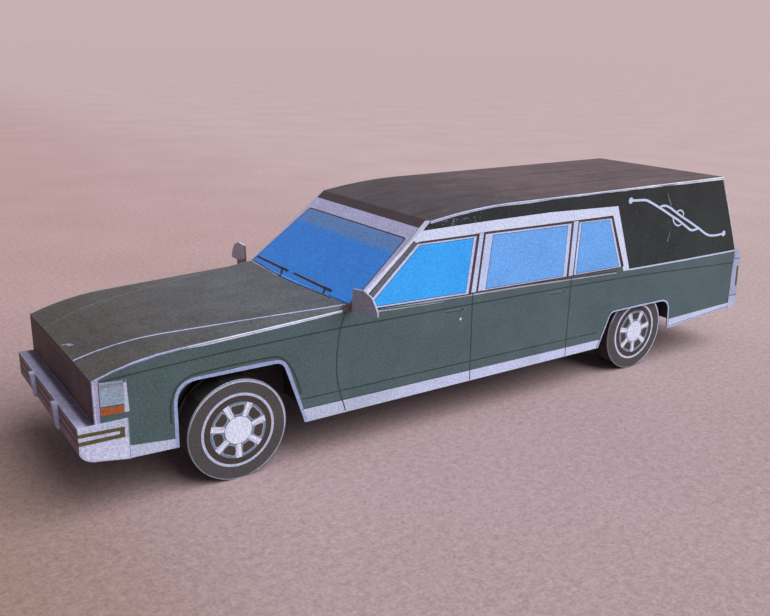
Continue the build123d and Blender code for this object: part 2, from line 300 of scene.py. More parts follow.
def rolled_paper():
    recipe = Recipe("rolled_paper_sleeve")
    settings = {"wave_type": "BANDS", "bands_direction": "DIAGONAL"}
    values = {"Vector": recipe.place, "Scale": 60.0, "Distortion": 1.0}
    turns = recipe.node("ShaderNodeTexWave", settings, values)
    speck = recipe.noise(1800)
    edge = recipe.between(turns, 0.9, 0.99)
    colour = recipe.mix(edge * 0.5 + speck * 0.2, srgb(214, 208, 200), srgb(150, 140, 130))
    return recipe.surface(colour, 0.8, turns * 0.6 + speck * 0.4, 0.00005)


inks = {name: printed(name, *ink) for name, ink in INKS.items()}
inks["skewer"] = skewer_wood()
inks["sleeve"] = rolled_paper()


# ---------------------------------------- print on the card faces

class Sheet:
    """A flat face of the model. Its print is placed by two lengths on it and a height above it."""

    def __init__(self, origin, across, up, out):
        self.origin, self.across, self.up, self.out = Vector(origin), Vector(across), Vector(up), Vector(out)

    def at(self, u, v, height):
        return (self.origin + u * self.across + v * self.up + height * self.out) * MM


class Drape(Sheet):
    """A face that isn't flat. Its print is placed by x and y, and lies where a line from above meets it."""

    def __init__(self, node):
        mesh = nodes[node].data
        self.card = BVHTree.FromPolygons([v.co for v in mesh.vertices], [p.vertices for p in mesh.polygons])

    def at(self, u, v, height):
        hit = self.card.ray_cast(Vector((u, v, 100)) * MM, Vector((0, 0, -1)))[0]
        return hit + Vector((0, 0, height * MM))


def card_side(side, stand=0.0):
    """The left or the right side of the car, or a sheet that stands off it. Its lengths are x and z."""
    return Sheet((0, side * (HALF_WIDTH + stand), 0), (1, 0, 0), (0, 0, 1), (0, side, 0))


def across(foot, top, facing=1, y=0.0):
    """A face across the car that leans from its foot to its top, which are given in x and z.

    Its lengths are y and the way up. It looks forwards where facing is 1."""
    up = Vector((top[0] - foot[0], 0, top[1] - foot[1])).normalized()
    return Sheet((foot[0], y, foot[1]), (0, 1, 0), up, facing * Vector((up.z, 0, -up.x)))


def upright(x, facing=1):
    """A face across the car that stands upright. Its lengths are y and z."""
    return across((x, 0), (x, 1), facing)


def level(z, facing):
    """A level face, which looks up where facing is 1. Its lengths are x and y."""
    return Sheet((0, 0, z), (1, 0, 0), (0, 1, 0), (0, 0, facing))


def each(value, count):
    """One value for each of count places, from a list of them or from one number for all."""
    return value if isinstance(value, (list, tuple)) else [value] * count


class Print:
    """A piece that holds the print of one sheet, as closed slips of ink laid over each other."""

    def __init__(self, name, sheet):
        self.name, self.sheet = name, sheet
        self.mesh, self.slots = bmesh.new(), []

    def ring(self, points):
        """New corners at places on the sheet, each with its height."""
        return [self.mesh.verts.new(self.sheet.at(*point)) for point in points]

    def fill(self, faces, ink):
        """Adds faces, given by their corners, in one ink."""
        if ink not in self.slots:
            self.slots.append(ink)
        for corners in faces:
            self.mesh.faces.new(corners).material_index = self.slots.index(ink)

    def area(self, outline, ink, layer=1):
        """A filled outline."""
        top = self.ring([(u, v, layer * INK_STEP) for u, v in outline])
        low = self.ring([(u, v, -INK_ROOT) for u, v in outline])
        walls = [(top[n], top[n - 1], low[n - 1], low[n]) for n in range(len(top))]
        self.fill([top, low[::-1]] + walls, ink)

    def line(self, path, width, ink, layer=2, edge=0, closed=False):
        """A line of print along a path, as wide as one number or as one for each point.

        It lies on the path, or beside it: at its left where edge is 1, and at its right where edge is -1."""
        count, high = len(path), layer * INK_STEP
        widths = each(width, count)
        rings = []
        for n, point in enumerate(path):
            here = Vector(point)
            steps = []
            if closed or n:
                steps.append((here - Vector(path[n - 1])).normalized())
            if closed or n + 1 < count:
                steps.append((Vector(path[(n + 1) % count]) - here).normalized())
            turn = sum(steps, Vector((0, 0))).normalized()
            left = Vector((-turn.y, turn.x)) / max(turn.dot(steps[0]), 0.4)
            one = here + left * (widths[n] * (edge + 1) / 2)
            two = here + left * (widths[n] * (edge - 1) / 2)
            rings.append(self.ring([(*one, high), (*two, high), (*two, -INK_ROOT), (*one, -INK_ROOT)]))
        ends = [] if closed else [rings[0], rings[-1]]
        rings += rings[:1] if closed else []
        walls = [(a[n - 1], a[n], b[n], b[n - 1]) for a, b in zip(rings, rings[1:]) for n in range(4)]
        self.fill(walls + ends, ink)

    def torn(self, path, width, ink, layer=2, edge=1, swing=0.5, seed=0.0):
        """A line whose width wanders, as where a fold has worn or a cut has missed its line."""
        dense = spaced(path, 1.2)
        count, ends = len(dense), each(width, 2)
        widths = []
        for n in range(count):
            place = n / (count - 1) * (len(ends) - 1)
            k = min(int(place), len(ends) - 2)
            steady = ends[k] + (ends[k + 1] - ends[k]) * (place - k)
            slow, quick = noise.noise((n * 0.07, seed, 0.5)), noise.noise((n * 0.45, seed, 3.5))
            widths.append(steady * max(0.15, 1 + swing * (1.6 * slow + 0.5 * quick)))
        self.line(dense, widths, ink, layer, edge)

    def plain(self):
        """The print as an object without its inks, which isn't in the scene yet."""
        bmesh.ops.recalc_face_normals(self.mesh, faces=self.mesh.faces)
        return as_object(self.name, self.mesh)

    def finish(self, slot, body="root"):
        wear(self.plain(), self.slots, body)


def as_object(name, mesh):
    """An object from a bmesh."""
    data = bpy.data.meshes.new(name)
    mesh.to_mesh(data)
    mesh.free()
    return bpy.data.objects.new(name, data)


def wear(made, names, body):
    """Puts a finished piece in its inks and on its body. One that a tree has grown is in its ink already."""
    bpy.context.scene.collection.objects.link(made)
    for name in names[len(made.data.materials):]:
        made.data.materials.append(inks[name])
    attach(made, body)


def box(u, v, far_u, far_v):
    """The outline of a box between two opposite corners."""
    return [(u, v), (far_u, v), (far_u, far_v), (u, far_v)]


def inset(outline, distance):
    """A convex outline moved inwards by one distance, or by one for each side."""
    count = len(outline)
    distances = each(distance, count)
    middle = sum((Vector(p) for p in outline), Vector((0, 0))) / count
    lines = []
    for n in range(count):
        start, end = Vector(outline[n]), Vector(outline[(n + 1) % count])
        step = (end - start).normalized()
        inward = Vector((-step.y, step.x))
        if inward.dot(middle - start) < 0:
            inward.negate()
        lines.append((start + inward * distances[n], step))
    moved = []
    for n in range(count):
        (a, p), (b, q) = lines[n - 1], lines[n]
        cross = p.x * q.y - p.y * q.x
        along = ((b - a).x * q.y - (b - a).y * q.x) / cross
        moved.append(tuple(a + p * along))
    return moved


def soften(outline, radii, steps=5, closed=True):
    """The outline with rounded corners. radii is one number, or one for each corner."""
    count = len(outline)
    radii = each(radii, count)
    points = []
    for n, corner in enumerate(outline):
        radius = radii[n]
        if radius == 0 or (not closed and n in (0, count - 1)):
            points.append(tuple(corner))
            continue
        corner = Vector(corner)
        one = (Vector(outline[n - 1]) - corner).normalized()
        two = (Vector(outline[(n + 1) % count]) - corner).normalized()
        half = math.acos(max(-1.0, min(1.0, one.dot(two)))) / 2
        reach = radius / math.tan(half)
        start, end = corner + one * reach, corner + two * reach
        for k in range(steps + 1):
            t = k / steps
            points.append(tuple((1 - t) ** 2 * start + 2 * t * (1 - t) * corner + t ** 2 * end))
    return points


def flowing(points, steps=6):
    """A smooth path through the points."""
    path = []
    ends = [2 * Vector(points[0]) - Vector(points[1])] + [Vector(p) for p in points]
    ends.append(2 * Vector(points[-1]) - Vector(points[-2]))
    for n in range(1, len(ends) - 2):
        a, b, c, d = ends[n - 1:n + 3]
        for k in range(steps):
            t = k / steps
            bend = 2 * b + (c - a) * t + (2 * a - 5 * b + 4 * c - d) * t ** 2
            path.append(tuple((bend + (3 * b - a - 3 * c + d) * t ** 3) / 2))
    path.append(tuple(points[-1]))
    return path


def spaced(path, gap):
    """The same path with a point at about every gap."""
    points = [tuple(path[0])]
    for start, end in zip(path, path[1:]):
        start, end = Vector(start), Vector(end)
        count = max(1, round((end - start).length / gap))
        points += [tuple(start.lerp(end, (k + 1) / count)) for k in range(count)]
    return points


def circle(centre, radius, corners):
    turns = [math.tau * n / corners for n in range(corners)]
    return [(centre[0] + radius * math.cos(turn), centre[1] + radius * math.sin(turn)) for turn in turns]


def roof_edge(steps=12):
    """The roof line from the windscreen's top to the tail, in x and z."""
    bend, top = Vector(ROOF_BEND), Vector(SCREEN_TOP)
    run = (bend - Vector(ROOF_REAR)).normalized()
    normal = Vector((run.y, -run.x))
    chord = top - bend
    radius = chord.length_squared / (2 * chord.dot(normal))
    centre = bend + normal * radius
    sweep = 2 * math.asin(chord.length / (2 * radius))
    points = []
    for n in range(steps + 1):
        turn = sweep * (1 - n / steps)
        points.append(tuple(centre - normal * radius * math.cos(turn) + run * radius * math.sin(turn)))
    return points + [ROOF_REAR]


# The top edge of a side sheet along the bonnet, and the wheel arches, in x and z
BONNET_EDGE = [(57.8, 45.3), (83.9, 43.9), (110.0, 42.6)]
BONNET_EDGE += [(115.8, 42.1), (121.6, 41.2), (127.2, 39.8), (132.5, 38.0)]
FRONT_ARCH = soften([(110.8, 14.6), (110.8, 32.8), (79.4, 32.8), (72.4, 12.6)], [0, 6, 3.5, 0], 7, False)
REAR_ARCH = soften([(-53.0, 12.6), (-58.6, 25.7), (-92.2, 25.7), (-93.2, 13.5)], [0, 3, 5, 0], 6, False)


# ---------------------------------------- the two sides

# Outlines and lines on the side, in x and z
FRONT_WINDOW = [(33.4, 61.9), (10.0, 62.0), (12.2, 43.2), (52.8, 44.1)]
REAR_DOOR_WINDOW = [(6.2, 62.2), (-32.9, 62.0), (-32.6, 43.1), (8.1, 43.5)]
QUARTER_WINDOW = [(-36.8, 62.0), (-53.2, 61.9), (-61.2, 43.0), (-36.3, 43.1)]
WINDOW_BAND = [
    (36.4, 62.6), (32.2, 65.8), (7.6, 66.4), (-22.2, 66.8), (-56.2, 66.1), (-66.2, 41.2), (-62.9, 41.2),
    (-53.8, 62.7), (-33.5, 62.6), (6.6, 62.8), (33.9, 62.4),
]
LANDAU_BAR = [
    (-62.7, 67.6), (-66.2, 67.4), (-70.4, 67.2), (-72.4, 66.7), (-75.6, 65.4), (-79.1, 63.8), (-83.6, 61.7),
    (-88.0, 59.5), (-91.1, 58.1), (-94.6, 56.2), (-97.8, 54.4), (-100.2, 53.1), (-102.1, 52.8),
    (-103.8, 53.0), (-105.4, 53.3),
]
LANDAU_UPPER = [
    (-79.6, 63.8), (-81.2, 64.1), (-83.1, 64.0), (-85.3, 63.3), (-87.5, 62.2), (-91.4, 60.1), (-95.2, 58.2),
    (-99.2, 56.3), (-103.2, 54.3), (-106.4, 52.7), (-109.8, 50.8), (-113.0, 49.6), (-116.2, 49.2),
    (-119.2, 49.2), (-122.6, 49.4),
]
LANDAU_LOOPS = (
    [(-89.9, 60.6), (-90.6, 61.2), (-91.5, 61.5), (-92.6, 61.5), (-93.7, 61.0), (-94.5, 60.2), (-94.6, 59.2)],
    [(-88.5, 59.0), (-88.7, 58.1), (-89.3, 57.1), (-90.4, 56.2), (-91.8, 55.6), (-93.2, 55.6), (-94.4, 56.3)],
)
SCREEN_PILLAR = [(57.75, 46.28), (57.6, 45.2), (54.0, 45.0), (43.0, 55.9), (38.0, 60.4), (28.95, 68.36)]
PILLAR_STRIP = [
    (57.6, 45.2), (54.9, 45.0), (50.6, 49.0), (48.0, 51.3), (43.9, 55.1), (38.8, 59.5), (35.2, 62.8),
    (33.4, 64.3), (30.8, 66.6), (29.3, 68.0), (28.85, 68.44), (39.8, 60.04), (45.8, 54.7), (51.7, 49.8),
]
PILLAR_BAND = [
    (54.9, 45.0), (51.9, 44.6), (48.4, 47.8), (41.3, 54.5), (33.3, 61.9), (34.9, 63.2), (38.8, 60.0),
    (43.9, 55.6), (50.6, 49.6),
]
BODY_CREASE = [
    (130.2, 37.5), (123.6, 37.9), (116.1, 38.3), (104.0, 38.8), (95.4, 39.2), (60.0, 39.8), (10.8, 39.5),
    (-35.4, 39.1), (-72.8, 38.4), (-133.0, 35.9),
]
ARCH_FLARE = [
    (112.7, 22.0), (112.7, 26.0), (112.2, 29.0), (110.7, 32.0), (107.8, 34.0), (104.0, 34.7), (94.0, 35.0),
    (84.0, 35.0), (80.4, 34.4), (77.6, 32.0), (75.4, 27.6), (73.6, 22.0),
]


def draw_windows(art):
    """The dark rear quarter, the pale band and the pillars, with the three windows on them."""
    quarter = [(-132.4, 41.3), (-66.2, 41.3), (-56.2, 66.0), (-22.2, 66.7), (7.6, 66.3), (32.2, 65.8)]
    art.area(roof_edge() + quarter, "quarter", 1)
    art.area(WINDOW_BAND, "band", 2)
    art.area([(9.4, 62.9), (-54.0, 62.9), (-62.8, 43.0), (11.3, 43.3)], "pillar", 2)

    # How far the dark outline reaches outwards and the pale frame inwards, on each side of a window
    windows = (
        (FRONT_WINDOW, [0.7, 1.2, 0.4, 0.1], [0.65, 1.3, 0.7, 1.1], "front_glass"),
        (REAR_DOOR_WINDOW, [0.8, 1.1, 0.4, 0.85], [0.7, 1.9, 0.5, 3.3], "rear_glass"),
        (QUARTER_WINDOW, [0.8, 0.95, 0.4, 0.5], [0.55, 1.1, 0.5, 1.25], "rear_glass"),
    )
    for outline, dark, pale, glass in windows:
        art.area(inset(outline, [-d for d in dark]), "brown_line", 3)
        art.area(outline, "pillar", 4)
        art.area(inset(outline, [p - 0.22 for p in pale]), "glass_edge", 5)
        art.area(inset(outline, pale), glass, 6)


def draw_belt(art):
    """The lines under the windows and along the rear quarter."""
    art.line([(-66.0, 41.3), (-100.0, 41.1), (-132.5, 41.2)], 0.62, "trim", 3)
    belt = [(53.0, 44.0), (30.8, 43.0), (-12.4, 42.3), (-59.0, 41.0)]
    art.line([(x, z + 0.5) for x, z in belt], 0.5, "brown_line", 2)
    art.line(belt, [0.3, 0.5, 0.5, 0.4], "belt", 3)
    art.line([(50.5, 43.0), (40.0, 42.5), (22.0, 42.0)], [0.5, 0.35, 0.1], "belt", 2)


def draw_roof_edge(art, side):
    """The worn edge under the roof, where bare card shows."""
    art.torn(roof_edge(), 0.72, "edge", 3, swing=0.25, seed=side)
    art.torn([(-72.0, 72.32), (-99.0, 72.62), ROOF_REAR], [0.5, 1.05, 1.2], "edge", 4, swing=0.12, seed=4)
    slope = -0.0068
    for start, end in ((-36.0, -62.0), (-67.0, -88.0)):
        dark = [(start, 71.47 + start * slope), (end, 71.37 + end * slope)]
        art.torn(dark, 0.16, "shadow_line", 5, edge=0, seed=start)


def draw_screen_pillar(art):
    art.area(SCREEN_PILLAR, "frame", 3)
    art.area(PILLAR_STRIP, "bright", 4)
    art.area(PILLAR_BAND, "pillar_band", 3)


def draw_nose_and_tail_edges(art, side):
    """The worn edges beside the bonnet and down the tail."""
    widths = [0.55, 0.6, 0.65, 0.6, 0.62, 1.0, 1.0, 0.95, 0.9, 0.85, 0.8, 0.75, 0.7]
    bonnet = [(x, z if side == 1 else z - 0.15) for x, z in BONNET_EDGE[::-1]]
    art.torn(bonnet, widths, "bonnet_edge", 3, swing=0.12, seed=3 + side)
    art.torn([ROOF_REAR, TAIL_FOLD], 0.42, "edge", 3, swing=0.3, seed=7)


def draw_doors(art):
    """The creases along the body, and the doors' shut lines, handles and lock."""
    art.line(BODY_CREASE, 0.42, "shadow_line", 2)
    art.line([(73.3, 20.1), (10.0, 19.6), (-51.6, 19.0)], 0.38, "shadow_line", 2)
    front_shut = flowing([(58.6, 44.6), (60.6, 38.9), (61.6, 31.1), (61.2, 22.8), (58.4, 13.0)])
    for shut in (front_shut, [(10.3, 43.1), (9.6, 12.8)], [(-35.3, 42.4), (-35.5, 12.8)]):
        art.line(shut, 0.34, "shadow_line", 4)
    for front, rear, height in ((21.3, 13.7, 38.7), (-24.5, -32.8, 38.1)):
        art.line([(front, height), (rear, height - 0.3)], 0.32, "handle", 3)
        art.line([(front - 0.4, height - 0.45), (rear + 0.2, height - 0.75)], 0.25, "shadow_line", 3)
        button = [(rear + 1.2, height + 0.1), (rear - 0.2, height), (rear, height - 1.2)]
        art.area(button + [(rear + 1.0, height - 1.1)], "handle", 3)
    art.area(circle((14.9, 35.1), 0.5, 12), "trim", 3)


def draw_sill(art):
    """The pale strips along the sill, a seam near the tail, and painted shade where the tail fin meets the
    side.
    """
    art.area([(73.7, 17.0), (-54.3, 16.0), (-53.1, 12.6), (72.5, 12.6)], "trim", 2)
    art.line([(73.6, 16.9), (-54.2, 15.9)], 0.2, "shadow_line", 3)
    art.area([(123.9, 18.5), (110.9, 17.2), (110.9, 14.6), (123.9, 15.0)], "trim", 2)
    art.area([(-92.8, 17.4), (-133.1, 18.3), (-133.2, 16.4), (-93.2, 13.6)], "trim", 2)
    # Painted shade where the tail fin stands off the side
    art.line([(-132.6, 40.8), (-133.0, 18.4)], 0.3, "shadow_line", 5)
    art.line([(-93.6, 14.3), (-133.1, 16.9)], 0.22, "shadow_line", 3)


def draw_arches(art):
    """The lips of the wheel arches, and the flare line above the front one."""
    art.torn(FRONT_ARCH, 1.05, "lip", 3, edge=-1, swing=0.15)
    art.torn(REAR_ARCH, 0.62, "lip", 3, edge=-1, swing=0.15)
    art.line(REAR_ARCH, 0.9, "shadow_line", 2, edge=-1)
    art.line(flowing(ARCH_FLARE, 4), 0.5, "shadow_line", 2)


def draw_corner_lamp(art):
    art.area([(132.5, 38.0), (130.8, 38.4), (130.9, 26.4), (132.5, 26.4)], "nose", 3)
    art.line([(132.1, 38.0), (132.1, 26.4)], 0.45, "trim", 4)
    art.area([(130.7, 37.3), (123.8, 36.8), (123.4, 28.1), (130.8, 28.4)], "chrome", 3)
    art.line([(130.7, 37.2), (123.9, 36.7)], 0.4, "lens", 4, edge=1)
    art.line([(123.8, 36.8), (123.5, 28.2)], [0.75, 1.15], "trim", 4, edge=1)
    art.line([(130.75, 37.3), (130.8, 26.5)], 0.16, "shadow_line", 6)
    art.area([(130.6, 35.9), (124.7, 35.5), (124.8, 30.5), (130.7, 30.8)], "lens", 5)
    art.area([(130.6, 30.5), (124.8, 30.1), (124.9, 28.1), (130.5, 28.4)], "amber", 5)
    art.line([(130.6, 35.9), (124.7, 35.5)], 0.18, "chrome", 6)
    art.line([(130.7, 30.7), (124.8, 30.3)], 0.2, "shadow_line", 6)


def draw_landau_bar(art):
    """The two strokes of the landau bar, its loops in the middle and its round ends."""
    for loop in LANDAU_LOOPS:
        art.line(flowing(loop, 2), 0.58, "bar", 4)
    art.line(flowing(LANDAU_BAR, 3), 0.86, "bar", 5)
    art.line(flowing(LANDAU_UPPER, 3), 0.84, "bar", 6)
    for knob in (LANDAU_BAR[0], LANDAU_UPPER[-1]):
        art.area(circle(knob, 1.15, 20), "bar", 7)


def draw_scratches(art):
    """Two scratches in the rear quarter, and a cluster of small ones over the front door."""
    art.line([(-83.4, 68.9), (-84.6, 66.6), (-86.5, 63.9)], [0.12, 0.3, 0.4], "scratch", 2)
    art.line([(-87.9, 53.9), (-87.3, 51.8), (-86.8, 49.8)], [0.12, 0.3, 0.4], "scratch", 2)
    middle, spread, scratches = Vector((19.5, 67.4)), Vector((80, 2.4)), 46
    for n in range(scratches):
        chance = noise.cell_vector((n * 1.7, 0.3, 0.9))
        x = middle.x - spread.x * (chance.x - 0.5) ** 3
        z = middle.y + spread.y * (chance.y - 0.5)
        art.line([(x, z), (x + 0.5 * chance.z, z + 0.3 * chance.x)], [0.1, 0.3], "scratch", 2)


def print_side(name, side):
    art = Print(f"{name}_side_print", card_side(side))
    draw_windows(art)
    draw_belt(art)
    draw_roof_edge(art, side)
    draw_screen_pillar(art)
    draw_nose_and_tail_edges(art, side)
    for draw in (draw_doors, draw_sill, draw_arches, draw_corner_lamp, draw_landau_bar):
        draw(art)
    if side == 1:
        draw_scratches(art)
    art.finish("body_side_card")


for side_name, side in SIDES:
    print_side(side_name, side)


# ---------------------------------------- windscreen, its foot and the bonnet

SCREEN_FOOT = flowing([(57.95, -31.2), (58.2, -23.0), (58.8, -14.5), (59.2, -7.0), (59.25, -1.4), (59.0, 3.5),
                       (58.6, 9.6), (58.15, 17.0), (57.95, 23.0)], 4)
bonnet_top = Drape("bonnet")


def print_windscreen():
    art = Print("windscreen_print", across(SCREEN_BASE, SCREEN_TOP))
    art.area(box(-INNER_HALF, 33.0, INNER_HALF, math.dist(SCREEN_BASE, SCREEN_TOP)), "header", 1)
    for side in (1, -1):
        art.area(box(side * 31.3, 0.1, side * HALF_WIDTH, 36.4), "frame", 1)

    # Dark outline, glass, and on the left a pale strip beside the glass: the side sheet's pale strip carried
    # over, with a painted highlight along the fold
    glass = [(-31.5, -0.1), (31.95, -0.1), (31.95, 6.0), (30.95, 13.9), (29.95, 21.6), (29.0, 28.2)]
    glass.append((-29.6, 28.0))
    art.area(soften(glass, [0, 0, 0, 0, 0, 1.2, 1.2], 4), "brown_line", 2)
    pane = inset(glass, [0.0, 0.42, 0.42, 0.42, 0.42, 0.5, 0.45])
    art.area(soften(pane, [0, 0, 0, 0, 0, 1.0, 1.0], 4), "screen_glass", 3)
    strip = [(32.0, 21.0), (31.2, 28.4), (30.2, 32.9), (29.8, 36.0), (30.6, 36.5), (32.0, 36.5)]
    art.area(strip, "screen_strip", 3)
    art.line([(31.9, 21.0), (31.1, 28.4), (30.1, 32.9)], 0.16, "chrome", 4)

    # Wipers: where the blade starts and ends, and where its arm starts and ends
    for start, end, arm, foot in ((-30.6, -7.6, -12.0, -9.5), (-4.2, 20.2, 16.2, 17.6)):
        art.line([(start, 1.95), (end, 1.85)], [0.65, 1.0], "wiper", 4)
        art.line([(start + 2.0, 2.35), (end - 5.0, 2.3)], 0.2, "chrome", 5)
        art.line([(arm, 1.8), (foot, -0.05)], [0.7, 1.0], "wiper", 4)
    art.line([(20.0, 0.25), (31.5, 0.25)], [0.15, 0.4], "line", 3)
    art.finish("windscreen_card")


def print_windscreen_foot():
    """The foot of the glass, which is cut to a curve and runs out over the bonnet, and the step below it."""
    foot = Print("windscreen_foot_print", bonnet_top)
    foot.area([(57.9, 23.0), (57.9, -31.2)] + SCREEN_FOOT[1:-1], "screen_glass", 1)
    foot.line(SCREEN_FOOT, 0.6, "wiper", 2, edge=-1)
    cut = flowing([(58.5, -31.4), (59.0, -23.0), (59.55, -14.5), (59.95, -8.5)], 4)
    foot.torn(cut, 0.35, "edge", 3, edge=-1)
    foot.area([(57.9, -10.0), (57.9, -9.0), (59.3, -7.4), (59.3, -8.6)], "line", 3)
    foot.finish("windscreen_card")
    step = Print("windscreen_step_print", upright(SCREEN_BASE[0]))
    step.area(box(-31.4, 45.2, 31.4, 46.35), "screen_glass", 1)
    step.area([(-10.1, 45.2), (-9.1, 45.2), (-8.9, 46.35), (-9.9, 46.35)], "line", 2)
    step.finish("windscreen_card")


def print_bonnet():
    """Two scuffs near the nose."""
    art = Print("bonnet_print", bonnet_top)
    for scuff in (((131.9, 2.6), (130.9, 3.3), (129.9, 4.9)), ((131.0, 4.6), (130.2, 5.2), (129.6, 5.9))):
        art.torn(scuff, 0.45, "lens", 1, edge=0, swing=0.8, seed=scuff[0][0])
    art.finish("bonnet_card")


print_windscreen()
print_windscreen_foot()
print_bonnet()


# ---------------------------------------- front panel

def print_front_panel():
    art = Print("front_panel_print", upright(NOSE_X))
    art.area(box(-INNER_HALF, 26.6, INNER_HALF, 37.5), "front", 1)
    # The panel's chrome, lenses and amber are darker copies of those inks: painted shade
    art.line([(-31.4, 37.3), (31.4, 37.3)], 0.45, "dim_chrome", 2)

    # Grille
    art.area(soften([(-12.4, 26.6), (12.4, 26.6), (11.8, 37.0), (-11.8, 37.0)], 0.5), "dim_chrome", 2)
    art.area(soften([(-11.7, 26.6), (11.7, 26.6), (11.2, 36.4), (-11.2, 36.4)], 0.4), "grille", 3)
    for k in range(19):
        bar_y = (k - 9) * 1.18
        art.line([(bar_y, 26.7), (bar_y * 0.965, 36.3)], 0.26, "dim_chrome", 4)
    for height in (29.6, 32.0, 34.4):
        art.line([(-11.4, height), (11.4, height)], 0.16, "dim_chrome", 5)

    # Two headlamps on each side, over an amber lamp
    for side in (1, -1):
        for inner, outer in ((13.8, 21.4), (22.2, 29.8)):
            lamp = box(side * inner, 29.6, side * outer, 36.3)
            art.area(soften(lamp, 0.6), "dim_chrome", 2)
            art.area(soften(inset(lamp, 0.45), 0.4), "line", 3)
            art.area(soften(inset(lamp, 0.75), 0.4), "dim_lens", 4)
            for k in range(5):
                flute = side * (inner + 1.6 + k * 1.1)
                art.line([(flute, 30.6), (flute, 35.3)], 0.1, "dim_chrome", 5)
        lamp = box(side * 14.2, 27.3, side * 29.4, 28.8)
        art.area(inset(lamp, -0.3), "dim_chrome", 2)
        art.area(lamp, "dim_amber", 3)
        art.line([(side * 21.8, 27.3), (side * 21.8, 28.8)], 0.2, "line", 4)
    art.finish("front_card")


print_front_panel()


# ---------------------------------------- tail: window, tailgate, lamps and plate

def print_tail_window():
    art = Print("tail_window_print", across(TAIL_FOLD, ROOF_REAR, -1))
    art.area(box(-INNER_HALF, 0.0, INNER_HALF, math.dist(TAIL_FOLD, ROOF_REAR)), "quarter", 1)
    window = [(-25.5, 4.2), (25.5, 4.2), (23.8, 25.6), (-23.8, 25.6)]
    art.area(soften(inset(window, -1.7), 2.2), "trim", 2)
    art.area(soften(inset(window, -0.5), 1.6), "line", 3)
    art.area(soften(window, 1.3), "rear_glass", 4)
    art.area([(-24.2, 20.6), (24.2, 20.6), (23.5, 25.2), (-23.5, 25.2)], "tint", 5)
    art.line([(-4.0, 5.4), (15.0, 6.6)], [0.6, 0.35], "line", 6)
    art.line([(0.4, 3.2), (2.6, 5.7)], 0.5, "line", 6)
    art.line([(-31.5, 1.2), (31.5, 1.2)], 0.5, "shadow_line", 2)
    art.finish("tail_card")


def print_tailgate():
    art = Print("tailgate_print", across(TAIL_FOOT, TAIL_FOLD, -1))
    art.line([(-INNER_HALF, 24.7), (INNER_HALF, 24.7)], 0.8, "trim", 3)
    for seam in ([(-24.9, 24.0), (-24.9, 5.4)], [(24.9, 24.0), (24.9, 5.4)], [(-24.9, 20.3), (24.9, 20.3)]):
        art.line(seam, 0.32, "shadow_line", 2)

    # Recess with a blank plate, and the handle above it
    art.area(soften(box(-12.5, 7.0, 12.5, 16.8), 0.8), "shadow_line", 2)
    art.area(soften(box(-9.6, 8.3, 9.6, 15.2), 0.5), "trim", 3)
    art.area(soften(box(-9.2, 8.7, 9.2, 14.8), 0.4), "bright", 4)
    art.area(soften([(-5.0, 17.4), (5.0, 17.4), (4.6, 19.2), (-4.6, 19.2)], 0.5), "chrome", 3)
    art.area([(-3.6, 17.9), (3.6, 17.9), (3.4, 18.6), (-3.4, 18.6)], "line", 4)

    # A lamp on each side of the plate
    for side in (1, -1):
        lamp = box(side * 14.2, 8.6, side * 23.6, 14.6)
        art.area(inset(lamp, -0.4), "trim", 2)
        art.area(lamp, "red", 3)
        art.area(box(side * 18.0, 9.0, side * 20.6, 14.2), "lens", 4)
    art.finish("tail_card")


def print_tail_fin(name, side):
    """The lamp on the fin's rear face, and the seams on its outer face."""
    lamp = Print(f"{name}_tail_lamp_print", across((REAR_BUMPER_FACE, 21.3), (-137.0, 38.1), -1, side * 28.5))
    lamp.area(soften(box(-2.6, 1.3, 2.6, 16.2), 0.7), "line", 1)
    lamp.area(soften(box(-2.2, 1.7, 2.2, 15.8), 0.6), "red", 2)
    for height in (5.2, 8.7, 12.2):
        lamp.line([(-2.2, height), (2.2, height)], 0.3, "trim", 3)
    lamp.finish("tail_lamp_card")
    outer = Print(f"{name}_tail_fin_print", card_side(side))
    outer.area([(-135.5, 34.0), (-136.9, 34.0), (-137.4, 25.4), (-136.1, 25.4)], "olive", 1)
    outer.line([(-132.9, 37.6), (-136.9, 37.4)], 0.3, "rim_dark", 1)
    outer.line([(-133.2, 21.4), (-138.0, 21.3)], 0.3, "rim_dark", 1)
    outer.finish("tail_lamp_card")


print_tail_window()
print_tailgate()
for side_name, side in SIDES:
    print_tail_fin(side_name, side)


# ---------------------------------------- underside and bumpers

def print_underside():
    """Worn folds along the sills, and the seams between the floor's three sheets."""
    art = Print("underside_folds", level(FLOOR_UNDERSIDE, -1))
    for side in (1, -1):
        for front, rear in ((130.5, 113.0), (70.0, -50.0), (-96.0, -131.5)):
            sill = [(front, side * 30.6), (rear, side * 30.6)]
            art.torn(sill, 0.35, "scratch", 1, edge=0, swing=0.6, seed=side)
    for seam in (71.6, -51.4):
        art.torn([(seam, -22.0), (seam, 22.0)], 0.4, "scratch", 1, edge=0, swing=0.6, seed=seam)
    art.finish("underside_card")


def print_bumper_wing(name, side):
    art = Print(f"{name}_bumper_wing_print", card_side(side, 0.4))
    art.area(box(BUMPER_FRONT, 26.3, 124.1, 19.3), "trim", 1)
    art.area([(BUMPER_FRONT, 24.85), (125.1, 24.4), (125.1, 21.5), (BUMPER_FRONT, 21.6)], "olive", 2)
    art.area([(BUMPER_FRONT, 23.8), (126.4, 23.45), (126.4, 22.6), (BUMPER_FRONT, 22.75)], "trim", 3)
    wing = [(136.2, 21.2), (124.2, 21.2), (124.2, 15.4), (131.8, 16.5), (134.6, 17.3), (136.0, 19.0)]
    art.area(wing, "wing", 2)
    art.line([(124.15, 26.3), (124.15, 15.2)], 0.2, "chrome", 3)
    art.finish("bumper_card")


